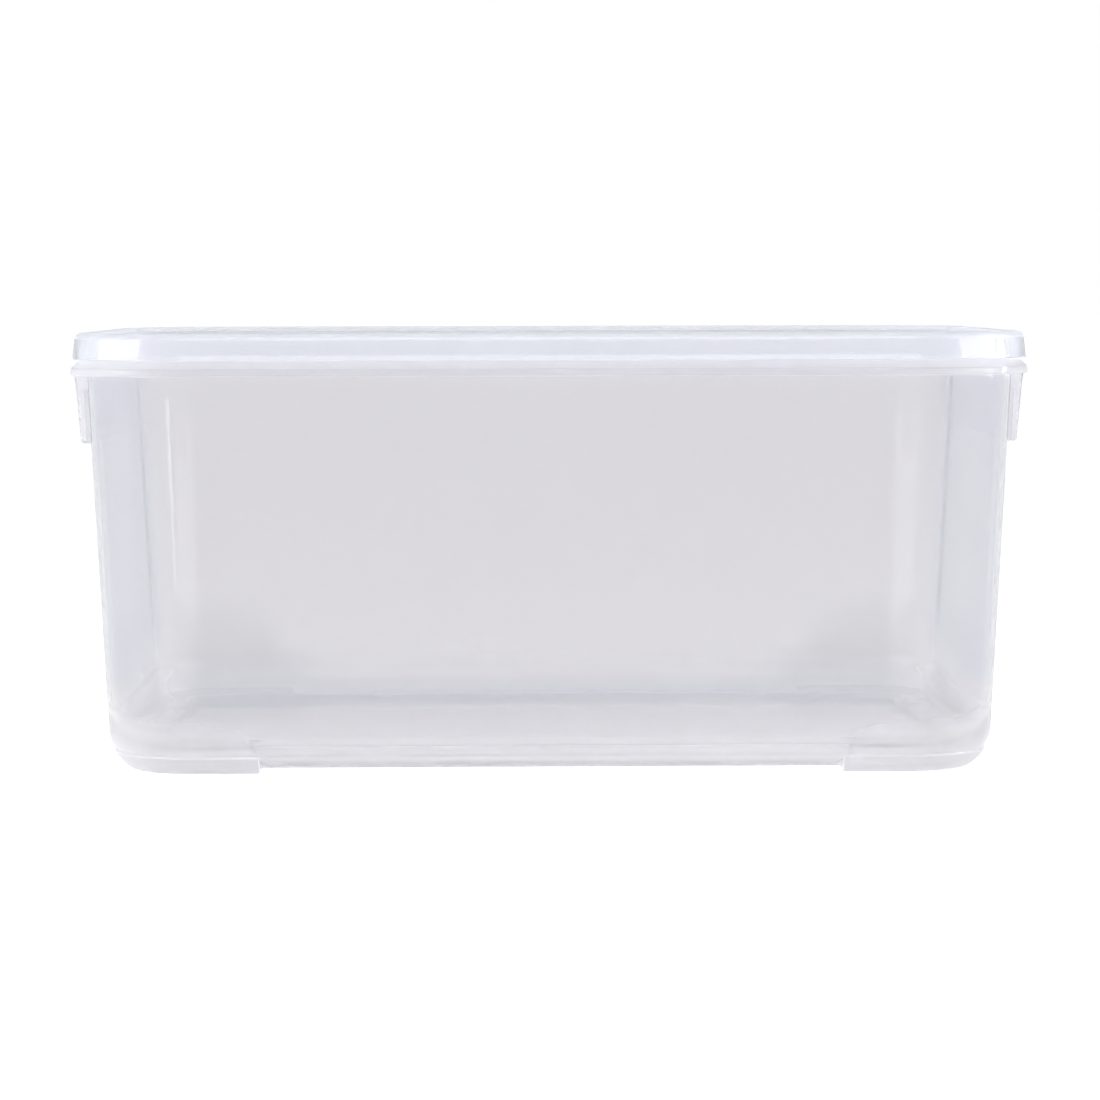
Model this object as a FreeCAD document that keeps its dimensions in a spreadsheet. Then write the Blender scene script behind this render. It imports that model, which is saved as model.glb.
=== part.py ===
import FreeCAD, Part
import math
import os
import Sketcher

# A clear food box: one moulded tub and one press-on lid. Millimetres, +Z up. The origin is the
# middle of the footprint, on the surface that the feet stand on; the long sides run along X.

SIZES = (
    # alias, value, what it is
    ("box_length", "346", "length over the tub's flange"),
    ("box_width", "235", "width over the tub's flange"),
    ("corner_round", "44.5", "plan radius of the flange's corners"),
    ("rim_top", "156.2", "height of the tub's rim, which the lid sits on"),
    ("wall", "1.8", "thickness of the tub's walls"),
    ("wall_draft", "2.93", "lean of the walls, in degrees"),
    ("flange_under", "142.5", "height of the flange's lower edge"),
    ("flange_reach", "5.7", "how far the flange stands out from the wall"),
    ("flange_lip", "2.6", "height of the flange's upright outer edge"),
    ("flange_slope", "38", "slope of the flange's top, in degrees"),
    ("flange_chamfer", "0.7", "bevel between the flange's slope and its edge"),
    ("flange_wall", "1.7", "thickness of the flange"),
    ("floor_top", "7.5", "height of the floor's upper face"),
    ("floor_wall", "2.4", "thickness of the floor"),
    ("outer_round", "13", "radius of the outer bottom edge"),
    ("inner_round", "13", "radius of the inner bottom edge"),
    ("ring_width", "5", "width of the flat ring under the bottom edge"),
    ("foot_drop", "1.6", "how far the feet reach below the ring"),
    ("foot_proud", "0.8", "how far the feet stand out from the bottom edge"),
    ("foot_height", "6.2", "height of the feet"),
    ("foot_width", "7", "width of the feet's flat sole"),
    ("foot_leg_long", "55.5", "length of a foot along a long side"),
    ("foot_leg_short", "50", "length of a foot along a short side"),
    ("grip_length", "144", "length of the grip on each short side"),
    ("grip_bottom", "117.5", "height of the grip's lower edge"),
    ("grip_inset", "1.8", "how far the grip lies in from the flange's edge"),
    ("grip_wall", "1.7", "thickness of the grip"),
    ("grip_bevel", "0.8", "bevel on the grip's lower edge"),
    ("lid_inset", "0.5", "how far the lid's edge lies in from the flange's edge"),
    ("lid_skirt", "8.2", "drop of the lid's skirt below the rim"),
    ("lid_lean", "7", "lean of the lid's skirt, in degrees"),
    ("lid_wall", "1.5", "thickness of the lid"),
    ("lid_round", "3.2", "radius of the lid's outer top edge"),
    ("lid_recess", "1.8", "depth of the lid's sunken panel"),
    ("lid_recess_slope", "55", "slope of the side of the sunken panel, in degrees"),
    ("plug_gap", "0.4", "gap between the lid's inner ring and the rim"),
    ("plug_wall", "1.3", "thickness of the lid's inner ring"),
    ("plug_drop", "5.2", "drop of the lid's inner ring below the rim"),
    ("weld", "1.0", "how far joined features run into each other"),
)

SHEET = "Sizes"


class Size:
    """A length or an angle: its number, and the text that binds it to the spreadsheet."""

    def __init__(self, text, value):
        self.text = text
        self.value = value

    @staticmethod
    def of(other):
        return other if isinstance(other, Size) else Size(repr(float(other)), float(other))

    def __add__(self, other):
        other = Size.of(other)
        return Size("(%s + %s)" % (self.text, other.text), self.value + other.value)

    def __sub__(self, other):
        other = Size.of(other)
        return Size("(%s - %s)" % (self.text, other.text), self.value - other.value)

    def __mul__(self, other):
        other = Size.of(other)
        return Size("(%s * %s)" % (self.text, other.text), self.value * other.value)

    def __truediv__(self, other):
        other = Size.of(other)
        return Size("(%s / %s)" % (self.text, other.text), self.value / other.value)

    def __neg__(self):
        return Size("(0 - %s)" % self.text, -self.value)

    def __rmul__(self, other):
        return Size.of(other) * self

    def __radd__(self, other):
        return Size.of(other) + self

    def __rsub__(self, other):
        return Size.of(other) - self


def tan(angle):
    return Size("tan(%s)" % angle.text, math.tan(math.radians(angle.value)))


def cos(angle):
    return Size("cos(%s)" % angle.text, math.cos(math.radians(angle.value)))


def sin(angle):
    return Size("sin(%s)" % angle.text, math.sin(math.radians(angle.value)))


def write_sheet(doc):
    """Put the driving sizes in the document's spreadsheet and return them by name."""
    sheet = doc.addObject("Spreadsheet::Sheet", SHEET)
    named = {}
    for row, (alias, value, meaning) in enumerate(SIZES, start=1):
        sheet.set("A%d" % row, meaning)
        sheet.set("B%d" % row, value)
        sheet.setAlias("B%d" % row, alias)
        named[alias] = Size("%s.%s" % (SHEET, alias), float(value))
    doc.recompute()
    return named


def origin_of(body, role):
    """The body's own origin plane or axis with this role."""
    return next(item for item in body.Origin.OriginFeatures if item.Role == role)


class Arc:
    """A round corner of an outline: its radius, and whether it turns left on the way round."""

    def __init__(self, radius, left):
        self.radius = radius
        self.left = left


def draw(body, name, role, path, closed=True):
    """A sketch of straight and round edges on an origin plane.

    path lists corner points (x, y), with an Arc between two points that a round edge joins. Every
    corner is placed from the sketch's origin, and every radius set, by the spreadsheet.
    """
    sketch = body.newObject("Sketcher::SketchObject", name)
    sketch.AttachmentSupport = (origin_of(body, role), [""])
    sketch.MapMode = "FlatFace"
    points = [item for item in path if not isinstance(item, Arc)]
    rounds = []
    for item in path:
        if isinstance(item, Arc):
            rounds[-1] = item
        else:
            rounds.append(None)
    count = len(points) if closed else len(points) - 1
    ends = []
    for i in range(count):
        (x0, y0), (x1, y1) = points[i], points[(i + 1) % len(points)]
        a = FreeCAD.Vector(x0.value, y0.value, 0)
        b = FreeCAD.Vector(x1.value, y1.value, 0)
        if rounds[i] is None:
            sketch.addGeometry(Part.LineSegment(a, b), False)
            ends.append((1, 2))
        else:
            radius = rounds[i].radius.value
            side = 1 if rounds[i].left else -1
            half = (b - a) * 0.5
            across = FreeCAD.Vector(-half.y, half.x, 0).normalize()
            centre = a + half + across * side * math.sqrt(max(radius ** 2 - half.Length ** 2, 0))
            turn = [math.atan2(p.y - centre.y, p.x - centre.x) for p in (a, b)]
            circle = Part.Circle(centre, FreeCAD.Vector(0, 0, 1), radius)
            first, last = turn if rounds[i].left else reversed(turn)
            sketch.addGeometry(Part.ArcOfCircle(circle, first, last), False)
            ends.append((1, 2) if rounds[i].left else (2, 1))
    for i in range(count):
        for axis, size in zip("XY", points[i]):
            place(sketch, "Distance" + axis, i, ends[i][0], size)
        if i + 1 < count or closed:
            after = (i + 1) % count
            joint = Sketcher.Constraint("Coincident", i, ends[i][1], after, ends[after][0])
            sketch.addConstraint(joint)
        else:
            for axis, size in zip("XY", points[i + 1]):
                place(sketch, "Distance" + axis, i, ends[i][1], size)
        if rounds[i] is not None:
            number = sketch.addConstraint(Sketcher.Constraint("Radius", i, rounds[i].radius.value))
            sketch.setExpression("Constraints[%d]" % number, rounds[i].radius.text)
    return sketch


def place(sketch, kind, edge, end, size):
    """Hold one end of an edge at this distance from the sketch's origin."""
    number = sketch.addConstraint(Sketcher.Constraint(kind, -1, 1, edge, end, size.value))
    sketch.setExpression("Constraints[%d]" % number, size.text)


def round_rectangle(half_length, half_width, radius):
    """The closed plan outline of a rounded rectangle, from the middle of its +X side, to the left."""
    x, y = half_length, half_width
    xi, yi = half_length - radius, half_width - radius
    zero = Size.of(0)
    turn = Arc(radius, True)
    return [(x, zero), (x, yi), turn, (xi, y), (-xi, y), turn, (-x, yi),
            (-x, -yi), turn, (-xi, -y), (xi, -y), turn, (x, -yi)]


def feature(body, kind, name):
    """The body's next solid feature. It joins with no added tolerance, so thin walls stay true."""
    step = body.newObject("PartDesign::" + kind, name)
    step.FuzzyTolerance = 0
    body.Tip = step
    return step


def sweep(body, name, profile, spine):
    """Carry a section along a level path."""
    pipe = feature(body, "AdditivePipe", name)
    pipe.Profile = profile
    pipe.Spine = spine
    pipe.Mode = "Frenet"
    return pipe


def plate(body, name, outline, low, high):
    """A flat plate of this outline between two heights."""
    outline.setExpression("AttachmentOffset.Base.z", low.text)
    pad = feature(body, "Pad", name)
    pad.Profile = outline
    pad.setExpression("Length", (high - low).text)
    return pad


def bar(body, name, kind, outline, length):
    """A straight bar of this outline, added (Pad) or cut (Pocket), equally far to both sides."""
    step = feature(body, kind, name)
    step.Profile = outline
    step.Midplane = True
    step.setExpression("Length", length.text)
    return step


def mirrored(path, across_x, across_y):
    """The same outline on the other side of the sketch's Y axis, of its X axis, or of both."""
    swapped = across_x != across_y
    return [Arc(item.radius, item.left != swapped) if isinstance(item, Arc) else
            (-item[0] if across_x else item[0], -item[1] if across_y else item[1])
            for item in path]


def corner_edge(s, height):
    """How far the tub's outer wall lies from the middle of the box at this height, on the X side."""
    at_flange = s["box_length"] / 2 - s["flange_reach"]
    return at_flange - tan(s["wall_draft"]) * (s["flange_under"] - height)


def flange_faces(s):
    """Heights of the flange's sloping top and underside where they meet the outer wall."""
    run = s["flange_reach"] - s["flange_chamfer"]
    lip_top = s["flange_under"] + s["flange_lip"] + s["flange_chamfer"] * tan(s["flange_slope"])
    top = lip_top + run * tan(s["flange_slope"])
    under = top - s["flange_wall"] / cos(s["flange_slope"])
    return lip_top, top, under


def wall_section(s):
    """Section of the tub's wall, from the floor's edge up to the rim and back down the outside."""
    draft = s["wall_draft"]
    tip = s["box_length"] / 2
    inner_end = corner_edge(s, Size.of(0)) - s["outer_round"] - s["ring_width"] - 2 * s["floor_wall"]
    inner_middle = s["floor_top"] + s["inner_round"]
    inner_foot = corner_edge(s, inner_middle) - s["wall"] - s["inner_round"] / cos(draft)
    outer_middle = s["foot_drop"] + s["outer_round"]
    outer_foot = corner_edge(s, outer_middle) - s["outer_round"] / cos(draft)
    ring_end = outer_foot - s["ring_width"]
    floor_under = s["floor_top"] - s["floor_wall"]
    lip_top, slope_top, slope_under = flange_faces(s)
    channel_x = tip - s["flange_wall"]
    channel_z = slope_under - (channel_x - corner_edge(s, slope_under)) * tan(s["flange_slope"])
    return [
        (inner_end, s["floor_top"]),
        (inner_foot, s["floor_top"]),
        Arc(s["inner_round"], True),
        (inner_foot + s["inner_round"] * cos(draft), inner_middle - s["inner_round"] * sin(draft)),
        (corner_edge(s, s["rim_top"]) - s["wall"], s["rim_top"]),
        (corner_edge(s, s["rim_top"]), s["rim_top"]),
        (corner_edge(s, slope_top), slope_top),
        (tip - s["flange_chamfer"], lip_top),
        (tip, s["flange_under"] + s["flange_lip"]),
        (tip, s["flange_under"]),
        (channel_x, s["flange_under"]),
        (channel_x, channel_z),
        (corner_edge(s, slope_under), slope_under),
        (outer_foot + s["outer_round"] * cos(draft), outer_middle - s["outer_round"] * sin(draft)),
        Arc(s["outer_round"], False),
        (outer_foot, s["foot_drop"]),
        (ring_end, s["foot_drop"]),
        (ring_end - (floor_under - s["foot_drop"]) / 2, floor_under),
        (inner_end, floor_under),
    ]


def make_tub(doc, s):
    """The tub: walls with their flange, the floor, two grips and four corner feet."""
    body = doc.addObject("PartDesign::Body", "Tub")
    body.Label = "tub"
    half_length, half_width, radius = s["box_length"] / 2, s["box_width"] / 2, s["corner_round"]

    round_box = draw(body, "FlangeLine", "XY_Plane", round_rectangle(half_length, half_width, radius))
    section = draw(body, "WallSection", "XZ_Plane", wall_section(s))
    sweep(body, "Walls", section, round_box)

    # The floor runs a little way into the foot of the walls.
    floor_in = half_length - wall_section(s)[0][0] - s["weld"]
    outline = round_rectangle(half_length - floor_in, half_width - floor_in, radius - floor_in)
    floor_line = draw(body, "FloorLine", "XY_Plane", outline)
    plate(body, "Floor", floor_line, s["floor_top"] - s["floor_wall"], s["floor_top"])

    add_grips(body, s)
    add_feet(body, s)
    return body


def add_grips(body, s):
    """A skirt that hangs under the flange at each short end, shut at both ends, open below."""
    tip = s["box_length"] / 2
    lean = tan(s["wall_draft"])
    top, bottom = s["flange_under"], s["grip_bottom"]
    slope_under = flange_faces(s)[2]

    def outer_face(height):
        return tip - s["grip_inset"] - lean * (top - height)

    def flange_below(x):
        return slope_under - (x - corner_edge(s, slope_under)) * tan(s["flange_slope"])

    inside = s["wall"] / 2
    roof_wall = flange_below(corner_edge(s, slope_under)) + inside
    roof_grip = flange_below(outer_face(top)) + inside
    block = [
        (corner_edge(s, bottom) - inside, bottom),
        (outer_face(bottom) - s["grip_bevel"], bottom),
        (outer_face(bottom + s["grip_bevel"]), bottom + s["grip_bevel"]),
        (outer_face(roof_grip), roof_grip),
        (corner_edge(s, roof_wall) - inside, roof_wall),
    ]

    inner_face = outer_face(top) - s["grip_wall"]
    low = bottom - s["weld"]
    slot = [
        (corner_edge(s, low), low),
        (outer_face(low) - s["grip_wall"], low),
        (inner_face, top),
        (inner_face, flange_below(inner_face)),
        (corner_edge(s, slope_under), slope_under),
    ]
    for end, other in (("Right", False), ("Left", True)):
        section = draw(body, end + "GripSection", "XZ_Plane", mirrored(block, other, False))
        bar(body, end + "Grip", "Pad", section, s["grip_length"])
        section = draw(body, end + "SlotSection", "XZ_Plane", mirrored(slot, other, False))
        bar(body, end + "Slot", "Pocket", section, s["grip_length"] - 2 * s["grip_wall"])


def add_feet(body, s):
    """Four feet, each wrapped round a corner of the bottom edge and drawn out along both sides."""
    half_length, half_width = s["box_length"] / 2, s["box_width"] / 2
    base_in = half_length - corner_edge(s, Size.of(0))
    x, y, radius = half_length - base_in, half_width - base_in, s["corner_round"] - base_in
    middle = s["foot_drop"] + s["outer_round"]
    centre_in = s["outer_round"] / cos(s["wall_draft"]) - tan(s["wall_draft"]) * middle
    reach = s["outer_round"] + s["foot_proud"]
    drop = middle - s["foot_height"]
    side = Size("sqrt((%s)^2 - (%s)^2)" % (reach.text, drop.text),
                math.sqrt(reach.value ** 2 - drop.value ** 2))
    sole_side = Size("sqrt((%s)^2 - (%s)^2)" % ((reach + s["foot_drop"]).text, middle.text),
                     math.sqrt((reach + s["foot_drop"]).value ** 2 - middle.value ** 2))
    start = x - s["foot_leg_long"]
    line = [(start, -y), (x - radius, -y), Arc(radius, True), (x, radius - y),
            (x, s["foot_leg_short"] - y)]
    section = [
        (centre_in - y - side, s["foot_height"]),
        Arc(reach + s["foot_drop"] / 2, True),
        (centre_in - y - sole_side, Size.of(0)),
        (centre_in - y + s["foot_width"], Size.of(0)),
        (centre_in - y + s["foot_width"], s["foot_drop"] + s["weld"] / 2),
        (centre_in - y, s["foot_drop"] + s["weld"]),
        (centre_in - y - side + s["weld"] + s["foot_proud"], s["foot_height"]),
    ]
    for end, left in (("Right", False), ("Left", True)):
        for side_name, back in (("Front", False), ("Back", True)):
            name = side_name + end + "Foot"
            spine = draw(body, name + "Line", "XY_Plane", mirrored(line, left, back), closed=False)
            profile = draw(body, name + "Section", "YZ_Plane", mirrored(section, back, False))
            offset = -start if left else start
            profile.setExpression("AttachmentOffset.Base.z", offset.text)
            sweep(body, name, profile, spine)


def lid_section(s):
    """Section of the lid's border: sunken panel, raised edge, skirt, and the ring inside the rim."""
    tip = s["box_length"] / 2 - s["lid_inset"]
    rim = s["rim_top"]
    top = rim + s["lid_wall"]
    lean = s["lid_lean"]
    bottom = rim - s["lid_skirt"]
    middle = top - s["lid_round"]
    edge_x = tip - tan(lean) * (middle - bottom) - s["lid_round"] / cos(lean)
    turn_x = edge_x + s["lid_round"] * cos(lean)
    turn_z = middle + s["lid_round"] * sin(lean)
    plug_x = corner_edge(s, rim) - s["wall"] - s["plug_gap"]
    panel = top - s["lid_recess"]
    panel_x = plug_x - s["plug_wall"]
    inner_end = panel_x - s["lid_wall"] * 4
    inside = s["lid_wall"] / cos(lean)
    return [
        (inner_end, panel),
        (panel_x, panel),
        (panel_x + s["lid_recess"] / tan(s["lid_recess_slope"]), top),
        (edge_x, top),
        Arc(s["lid_round"], False),
        (turn_x, turn_z),
        (tip, bottom),
        (tip - inside, bottom),
        (tip - inside - tan(lean) * (middle - bottom), middle),
        (edge_x, rim),
        (plug_x, rim),
        (plug_x, rim - s["plug_drop"]),
        (plug_x - s["plug_wall"], rim - s["plug_drop"]),
        (plug_x - s["plug_wall"], panel - s["lid_wall"]),
        (inner_end, panel - s["lid_wall"]),
    ]


def make_lid(doc, s):
    """The lid: a sunken panel with a raised edge, a skirt outside the rim and a ring inside it."""
    body = doc.addObject("PartDesign::Body", "Lid")
    body.Label = "lid"
    inset = s["lid_inset"]
    half_length, half_width = s["box_length"] / 2 - inset, s["box_width"] / 2 - inset
    radius = s["corner_round"] - inset
    edge_line = draw(body, "LidLine", "XY_Plane", round_rectangle(half_length, half_width, radius))
    section = draw(body, "LidSection", "XZ_Plane", lid_section(s))
    sweep(body, "LidBorder", section, edge_line)

    panel_in = half_length - lid_section(s)[0][0] - s["weld"]
    outline = round_rectangle(half_length - panel_in, half_width - panel_in, radius - panel_in)
    panel_line = draw(body, "PanelLine", "XY_Plane", outline)
    panel = s["rim_top"] + s["lid_wall"] - s["lid_recess"]
    plate(body, "Panel", panel_line, panel - s["lid_wall"], panel)
    return body


def check(doc, bodies):
    """Stop if any object of the document failed or any sub-part has no sound solid."""
    for item in doc.Objects:
        if "Invalid" in item.State or "Error" in item.State:
            raise RuntimeError("%s failed: %s" % (item.Label, item.State))
    for body in bodies:
        if body.Shape.isNull() or not body.Shape.isValid() or len(body.Shape.Solids) != 1:
            raise RuntimeError("%s isn't one sound solid" % body.Label)


def main():
    doc = FreeCAD.newDocument("FoodBox")
    sizes = write_sheet(doc)
    bodies = [make_tub(doc, sizes), make_lid(doc, sizes)]
    doc.recompute()
    check(doc, bodies)
    os.makedirs("parts", exist_ok=True)
    for body in bodies:
        body.Shape.exportStep(os.path.join("parts", body.Label + ".step"))
        box = body.Shape.BoundBox
        print("%s: %.1f x %.1f x %.1f mm, z from %.2f, volume %.1f cm3" % (
            body.Label, box.XLength, box.YLength, box.ZLength, box.ZMin, body.Shape.Volume / 1000))


main()
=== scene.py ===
# %% [markdown]
# # A clear food box, rebuilt as a lesson
# The real thing is two mouldings of slightly milky, clear polypropylene: a deep tub with leaning
# walls, and a press-on lid. Nothing is in it. Both pieces are thin, so what the eye sees is mostly
# the white room behind them, a little greyed, with bright lines where an edge or a round corner
# catches a lamp. The lesson makes both pieces as fine surfaces, then one plastic, then the light.

import math

import bpy
import numpy as np
from mathutils import Matrix, Vector


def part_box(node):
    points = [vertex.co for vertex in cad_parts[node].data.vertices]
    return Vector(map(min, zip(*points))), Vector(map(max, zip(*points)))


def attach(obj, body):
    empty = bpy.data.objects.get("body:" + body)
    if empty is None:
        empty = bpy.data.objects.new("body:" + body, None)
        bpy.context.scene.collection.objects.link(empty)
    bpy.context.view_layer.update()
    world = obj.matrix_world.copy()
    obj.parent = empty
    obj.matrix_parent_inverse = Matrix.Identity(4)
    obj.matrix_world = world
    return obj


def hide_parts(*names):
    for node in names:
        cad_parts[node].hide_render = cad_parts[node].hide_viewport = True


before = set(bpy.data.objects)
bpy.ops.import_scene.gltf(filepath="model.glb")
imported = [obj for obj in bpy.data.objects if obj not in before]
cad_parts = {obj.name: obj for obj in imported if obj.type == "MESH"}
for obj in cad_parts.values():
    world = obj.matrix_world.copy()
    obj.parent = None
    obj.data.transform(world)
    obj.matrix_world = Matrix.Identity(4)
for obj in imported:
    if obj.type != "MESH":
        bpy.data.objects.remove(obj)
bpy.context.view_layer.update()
tub_low, tub_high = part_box("tub")
lid_low, lid_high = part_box("lid")
print("tub", [round(v, 4) for v in (*tub_low, *tub_high)])
print("lid", [round(v, 4) for v in (*lid_low, *lid_high)])

# %% [markdown]
# ## Sizes
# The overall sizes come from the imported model, so that the fine pieces fill the same box. The small
# ones, such as walls and edges, are the maker's sizes, in metres like all of Blender.

# %% Sizes of both pieces
MM = 0.001
HALF_LENGTH = float(tub_high[0])      # over the flange, along X
HALF_WIDTH = float(tub_high[1])       # over the flange, along Y
CORNER = 44.5 * MM                    # plan radius of the flange
RIM = float(tub_high[2])              # height of the tub's rim
LID_TOP = float(lid_high[2])
LID_BOTTOM = float(lid_low[2])
DRAFT = math.radians(2.93)            # lean of the walls
WALL = 1.8 * MM
FLANGE_UNDER = 142.5 * MM
FLANGE_REACH = 5.7 * MM               # how far the flange stands out from the wall
FLOOR_TOP = 7.5 * MM
FLOOR_WALL = 2.4 * MM
BOTTOM_ROUND = 13 * MM                # radius of the bottom edge, inside and outside
FOOT_DROP = 1.6 * MM                  # how far the feet reach below the rest
FOOT_PROUD = 0.8 * MM                 # how far they stand out from the bottom edge
FOOT_HEIGHT = 6.2 * MM
FOOT_WIDTH = 7 * MM                   # of a foot's sole, in from the bottom edge's centre
RING_WIDTH = 5 * MM                   # of the flat ring between the feet
UNDER_START = 6.8 * MM                # where the floor's underside begins, from the same centre
GRIP_BOTTOM = 117.5 * MM
FLANGE_SLOPE = math.radians(38)       # its upper face falls outwards
LIP_HEIGHT = 2.6 * MM
LIP_BEVEL = 0.7 * MM
LIP_WALL = 1.7 * MM
FLOOR_INSET = 35.8 * MM               # the last ring of the flat floor, in from the flange
SEAT = 0.1 * MM                       # a hair of air between lid and rim
RAMP = 0.3 * MM                       # how steeply a foot or a grip starts
print("box in mm:", [round(2 * v / MM, 1) for v in (HALF_LENGTH, HALF_WIDTH)], round(LID_TOP / MM, 1))

# %% [markdown]
# ## The path round the box
# In plan every line of the box is the same rounded rectangle, only nearer to or further from the
# middle. So one path serves them all: for each step it keeps a point of the inner rectangle that
# the corner arcs are centred on, and the direction that points straight out. A point of the box
# is then *inner point + distance × direction*, at some height.

# %% A path of inner points and outward directions
ARC_STEPS = 36        # in each round corner
SIDE_STEP = 12 * MM


def straight(stops, half, step):
    """Places along a side, from -half to +half: even steps, and a close pair at each stop."""
    even = np.linspace(-half, half, int(round(2 * half / step)) + 1)
    pairs = np.add.outer(np.asarray(stops, dtype=float), [-RAMP / 2, RAMP / 2]).ravel()
    return np.unique(np.round(np.concatenate([even, pairs]), 7))


def round_path(stops_long, stops_short):
    """Inner points, outward directions, one row for each step round the box, counter-clockwise.

    On a side the direction is fixed and the inner point moves. In a corner the inner point stays
    and the direction turns: direction = (cos a, sin a).
    """
    inner_x, inner_y = HALF_LENGTH - CORNER, HALF_WIDTH - CORNER
    x = straight(stops_long, inner_x, SIDE_STEP)
    y = straight(stops_short, inner_y, SIDE_STEP)
    turn = np.linspace(0, math.pi / 2, ARC_STEPS + 1)[1:-1]
    points, directions = [], []
    for quarter, along in enumerate((y, x, y, x)):
        angle = quarter * math.pi / 2
        out = np.array([math.cos(angle), math.sin(angle)])
        side = np.array([-out[1], out[0]])
        reach = inner_x if quarter % 2 == 0 else inner_y
        points.append(out * reach + along[:, None] * side)
        directions.append(np.repeat(out[None], len(along), 0))
        corner = points[-1][-1]
        points.append(np.repeat(corner[None], len(turn), 0))
        directions.append(np.stack([np.cos(angle + turn), np.sin(angle + turn)], 1))
    return np.concatenate(points), np.concatenate(directions)


def mask(value, edge):
    """1 where value is past edge, 0 before it, with a short straight ramp between."""
    return np.clip((value - edge) / RAMP + 0.5, 0, 1)


print("plain path:", len(round_path((), ())[0]), "steps")


# %% [markdown]
# ## Soft edges
# A moulding has no sharp edge: each is rounded by a few tenths of a millimetre, and that is what
# draws the bright lines of a clear plastic. The next function rounds every corner of a section. It
# works on the whole section at every step of the path at once.

# %% Round the corners of a section
STRAIGHT = math.radians(89.5)     # half the angle at a corner that is all but straight
LEAST_HALF = 0.02                 # radians, so that no arc grows without end
EDGE_SHARE = 0.45                 # an arc takes less than half of an edge


def soften(corners, radii, steps=5):
    """Replace each inner corner of the chains by an arc that touches both of its edges.

    corners is (path steps, corners, 2) and radii one number for each corner. With the unit vectors
    a and b towards the neighbours, and w the angle between them, the arc starts r / tan(w / 2)
    from the corner, or at EDGE_SHARE of the shorter edge. Its centre is on a + b, and its points are
    spread evenly by the angle seen from there.
    """
    back = corners[:, :-2] - corners[:, 1:-1]
    ahead = corners[:, 2:] - corners[:, 1:-1]
    back_long = np.linalg.norm(back, axis=2, keepdims=True)
    ahead_long = np.linalg.norm(ahead, axis=2, keepdims=True)
    a, b = back / back_long, ahead / ahead_long
    half = 0.5 * np.arccos(np.clip((a * b).sum(2, keepdims=True), -1, 1))
    flat = half > STRAIGHT
    half = np.clip(half, LEAST_HALF, STRAIGHT)
    tangent = np.asarray(radii)[None, :, None] / np.tan(half)
    tangent = np.minimum(tangent, EDGE_SHARE * np.minimum(back_long, ahead_long))
    radius = tangent * np.tan(half)
    middle = a + b
    middle = middle / np.maximum(np.linalg.norm(middle, axis=2, keepdims=True), 1e-9)
    centre = corners[:, 1:-1] + middle * radius / np.sin(half)
    first = corners[:, 1:-1] + a * tangent
    last = corners[:, 1:-1] + b * tangent
    sweep = math.pi - 2 * half
    rows = []
    for part in np.linspace(0, 1, steps):
        arc = (np.sin((1 - part) * sweep) * (first - centre)
               + np.sin(part * sweep) * (last - centre)) / np.sin(sweep) + centre
        rows.append(np.where(flat, first + (last - first) * part, arc))
    arcs = np.stack(rows, 2).reshape(len(corners), -1, 2)
    return np.concatenate([corners[:, :1], arcs, corners[:, -1:]], 1)


square = np.array([[[1.0, 0.0], [0.0, 0.0], [0.0, 1.0]]])
print("a rounded corner:", soften(square, [0.1], steps=3)[0].round(3).tolist())


# %% [markdown]
# ## Rows between the corners
# A wall is straight, so its corners alone would draw it. But a mark, such as how milky it is, is
# only kept at points, and fades evenly between them. Rows every few millimetres keep each mark in
# its place.

# %% Split the long edges of a section
LONGEST_EDGE = 5 * MM


def refine(section):
    """Cut each edge into equal parts: point = start + share * (end - start), at every step."""
    edge = np.linalg.norm(np.diff(section, axis=1), axis=2).max(0)
    parts = np.ceil(edge / LONGEST_EDGE).clip(1).astype(int)
    start = np.repeat(np.arange(len(parts)), parts)
    share = (np.arange(len(start)) - (np.cumsum(parts) - parts)[start]) / parts[start]
    share = share[None, :, None]
    rows = section[:, start] * (1 - share) + section[:, start + 1] * share
    return np.concatenate([rows, section[:, -1:]], 1)


print("the small corner, cut into rows of 5 mm:", refine(square * 0.01).shape[1], "points")

# %% [markdown]
# ## From sections to a closed mesh
# The section runs from the flat part of the upper face, out, round the edge and back to the flat
# part below. Carried round the path it closes on itself. Smaller and smaller rings fill the flat
# faces, and a point in the middle of each shuts it, so the piece is a true solid with a wall: light
# bends in and out of it as in the real one.

# %% Carry a section round the path and close it
FAN = (0.85, 0.7, 0.55, 0.4, 0.2)     # size of each ring that fills a flat face
SHARP_ANGLE = math.radians(38)        # edges that turn further than this stay sharp


def carry(points, directions, section):
    """Surface points: inner point + distance * direction, at height z.

    The section's x is measured on the +X side, so the distance from the inner rectangle is
    x - (HALF_LENGTH - CORNER), the same all round.
    """
    distance = section[:, :, 0] - (HALF_LENGTH - CORNER)
    plan = points[:, None, :] + distance[:, :, None] * directions[:, None, :]
    return np.concatenate([plan, section[:, :, 1:]], 2)


def with_fans(rows):
    """The rings, with smaller copies of the first and last: (share * x, share * y, z)."""
    shrink = np.array([(share, share, 1) for share in FAN])[:, None, None, :]
    top = rows[None, :, :1] * shrink
    under = rows[None, :, -1:] * shrink
    return np.concatenate([*top[::-1], rows, *under], 1)


def fan_out(mark):
    """The mark, with the values of its first and last ring carried on over the smaller ones."""
    return np.pad(mark, ((0, 0), (len(FAN), len(FAN))), mode="edge")


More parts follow.
